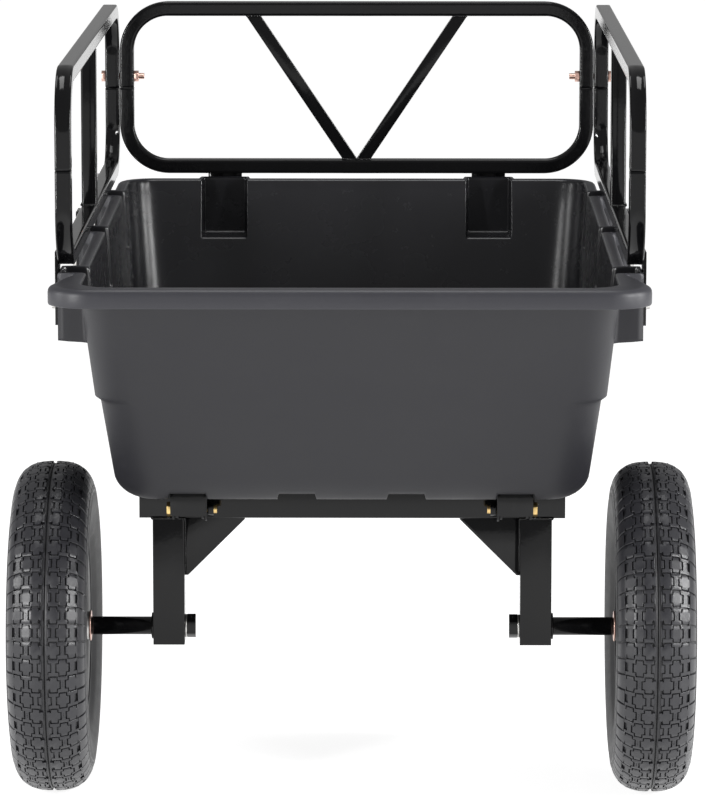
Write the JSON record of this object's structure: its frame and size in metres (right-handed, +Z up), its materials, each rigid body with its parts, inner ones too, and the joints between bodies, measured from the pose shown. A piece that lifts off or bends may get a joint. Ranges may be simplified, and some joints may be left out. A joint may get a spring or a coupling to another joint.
{
  "type": "tow behind cart",
  "caption": "Two-wheeled tow-behind dump cart: moulded tub that tips rearward on a tube frame, with bolted tube rails, pneumatic wheels, a foot latch and a pin hitch.",
  "frame": {"origin": "on the ground under the middle of the cart's overall length and width", "axes": "+Y forward towards the towing vehicle, +X to the cart's right, +Z up"},
  "size_m": [0.819, 1.76, 0.903],
  "materials": {
    "tub_plastic": "moulded black polyethylene, fine matte grain outside and a waxy sheen inside",
    "black_steel": "glossy black powder coat",
    "rim_paint": "satin black paint",
    "zinc_steel": "bright zinc plate",
    "yellow_zinc": "yellow zinc plate",
    "copper_zinc": "rosy zinc plate",
    "tyre_rubber": "black rubber with a block tread",
    "valve_rubber": "black rubber"
  },
  "bodies": {
    "frame": {"cross_tube": "black_steel", "left_post": "black_steel", "right_post": "black_steel", "gussets": "black_steel", "tongue": "black_steel", "front_bolster": "black_steel", "hinge_brackets": "black_steel", "hinge_bolts": "yellow_zinc", "hinge_nuts": "black_steel", "latch_bolt": "yellow_zinc", "latch_nut": "yellow_zinc", "latch_spring": "zinc_steel", "spring_anchor": "black_steel", "hitch_plate_top": "black_steel", "hitch_plate_bottom": "black_steel", "hitch_bolts": "zinc_steel", "hitch_nuts": "zinc_steel", "pin_holder": "black_steel", "axle_bolts": "black_steel", "axle_sleeves": "black_steel", "axle_washers": "zinc_steel", "axle_nuts": "zinc_steel"},
    "tub": {"tub": "tub_plastic", "tub_rails": "black_steel", "tub_bolts": "zinc_steel", "tub_nuts": "zinc_steel", "striker": "black_steel", "front_rail_upper": "black_steel", "front_rail_lower": "black_steel", "front_rail_braces": "black_steel", "front_rail_tabs": "black_steel", "left_rail_upper": "black_steel", "left_rail_lower": "black_steel", "right_rail_upper": "black_steel", "right_rail_lower": "black_steel", "rail_mid_bars": "black_steel", "side_rail_tabs": "black_steel", "tab_screws": "zinc_steel", "corner_bolts": "copper_zinc", "corner_nuts": "copper_zinc"},
    "latch": {"latch_plates": "black_steel", "latch_pedal": "black_steel"},
    "hitch_pin": {"hitch_pin": "zinc_steel", "hitch_clip": "zinc_steel"},
    "left_wheel": {"left_tyre": "tyre_rubber", "left_rim_inner": "rim_paint", "left_rim_outer": "rim_paint", "left_hub": "zinc_steel", "left_bearings": "copper_zinc", "left_valve": "valve_rubber", "left_rim_bolts": "zinc_steel"},
    "right_wheel": {"right_tyre": "tyre_rubber", "right_rim_inner": "rim_paint", "right_rim_outer": "rim_paint", "right_hub": "zinc_steel", "right_bearings": "copper_zinc", "right_valve": "valve_rubber", "right_rim_bolts": "zinc_steel"}
  },
  "joints": [
    {"name": "tub_tip", "type": "hinge", "parent": "frame", "child": "tub", "pos_m": [0, -0.51, 0.351], "axis": [1, 0, 0], "range_deg": [0, 70]},
    {"name": "latch_pivot", "type": "hinge", "parent": "frame", "child": "latch", "pos_m": [0, 0.265, 0.355], "axis": [1, 0, 0], "range_deg": [-25, 0], "stiffness_Nm_per_rad": 4, "springref_deg": 17.19, "deforming": ["latch_spring"]},
    {"name": "left_wheel_spin", "type": "hinge", "parent": "frame", "child": "left_wheel", "pos_m": [-0.361, -0.47, 0.2], "axis": [1, 0, 0], "continuous": true},
    {"name": "right_wheel_spin", "type": "hinge", "parent": "frame", "child": "right_wheel", "pos_m": [0.361, -0.47, 0.2], "axis": [1, 0, 0], "continuous": true},
    {"name": "hitch_pin_lift", "type": "slide", "parent": "frame", "child": "hitch_pin", "axis": [0, 0, 1], "range_m": [0, 0.1]}
  ]
}
